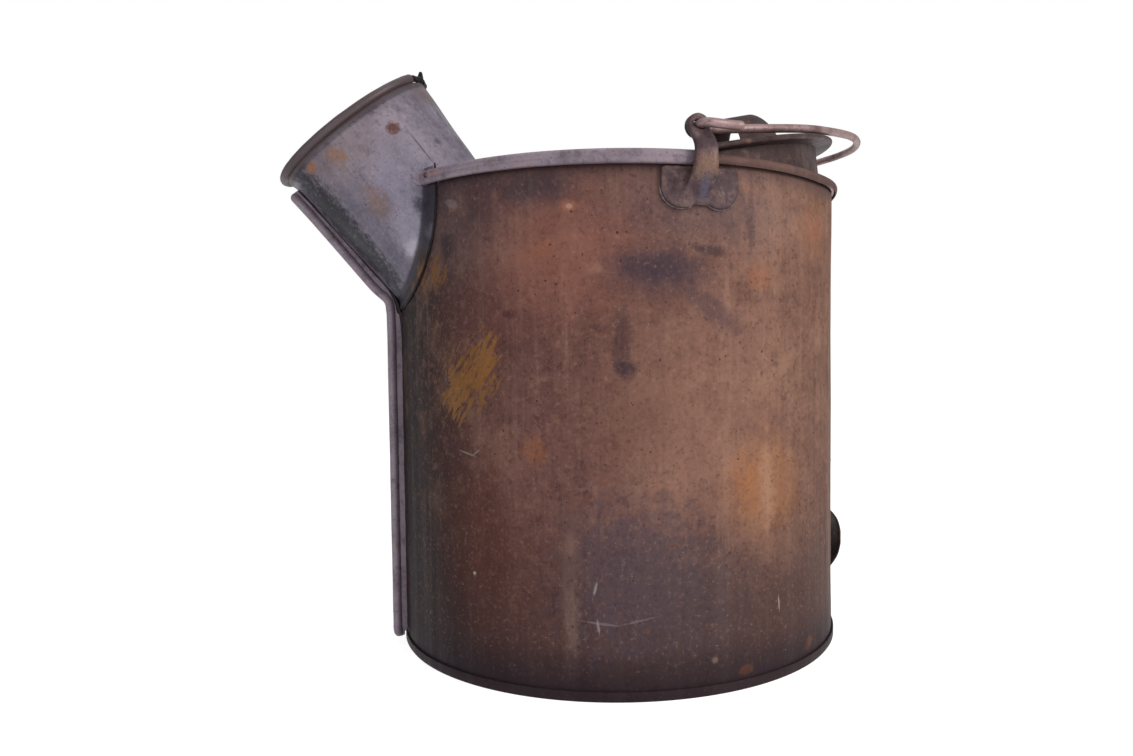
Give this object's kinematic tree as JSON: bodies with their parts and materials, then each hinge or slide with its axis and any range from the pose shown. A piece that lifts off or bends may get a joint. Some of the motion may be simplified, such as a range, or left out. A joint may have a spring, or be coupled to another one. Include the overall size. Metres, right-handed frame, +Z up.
{
  "type": "rusty spouted milk pail",
  "caption": "Old rusted sheet-metal milk pail with a wide spout, a fixed half cover, a hinged half lid with a strap handle, cast ears, a wire bail and a tipping handle.",
  "frame": {"origin": "Middle of the footprint of the whole pail, in the plane it stands on. The body's axis is at x = 0.0143 m.", "axes": "+Z up, -X towards the spout, +X towards the tipping handle, -Y the ear nearest the camera"},
  "size_m": [0.3504, 0.2736, 0.3233],
  "materials": {
    "rusty_sheet": "even brown rust with paler rubbed streaks, dull",
    "zinc_sheet": "mottled blue-grey zinc coat with dark runs and rust spots",
    "cover_sheet": "brown rust worn paler along the edges",
    "wire": "rusted wire, slightly polished by handling",
    "cast_ear": "rusted casting with pale dust"
  },
  "bodies": {
    "pail": {"body_shell": "rusty_sheet", "base_plate": "rusty_sheet", "rim_wire": "wire", "spout": "zinc_sheet", "mouth_wire": "wire", "front_rib": "rusty_sheet", "fixed_cover": "cover_sheet", "hinge_pin": "wire", "ear_near": "cast_ear", "ear_far": "cast_ear", "tipping_handle": "cover_sheet"},
    "lid": {"lid": "cover_sheet", "lid_handle": "cover_sheet"},
    "bail": {"bail": "wire"}
  },
  "joints": [
    {"name": "lid_hinge", "type": "hinge", "parent": "pail", "child": "lid", "pos_m": [0.0143, 0, 0.2582], "axis": [0, -1, 0], "range_deg": [-12.5, 0]},
    {"name": "bail_swing", "type": "hinge", "parent": "pail", "child": "bail", "pos_m": [0.0143, 0, 0.2686], "axis": [0, -1, 0], "range_deg": [0, 155]}
  ]
}
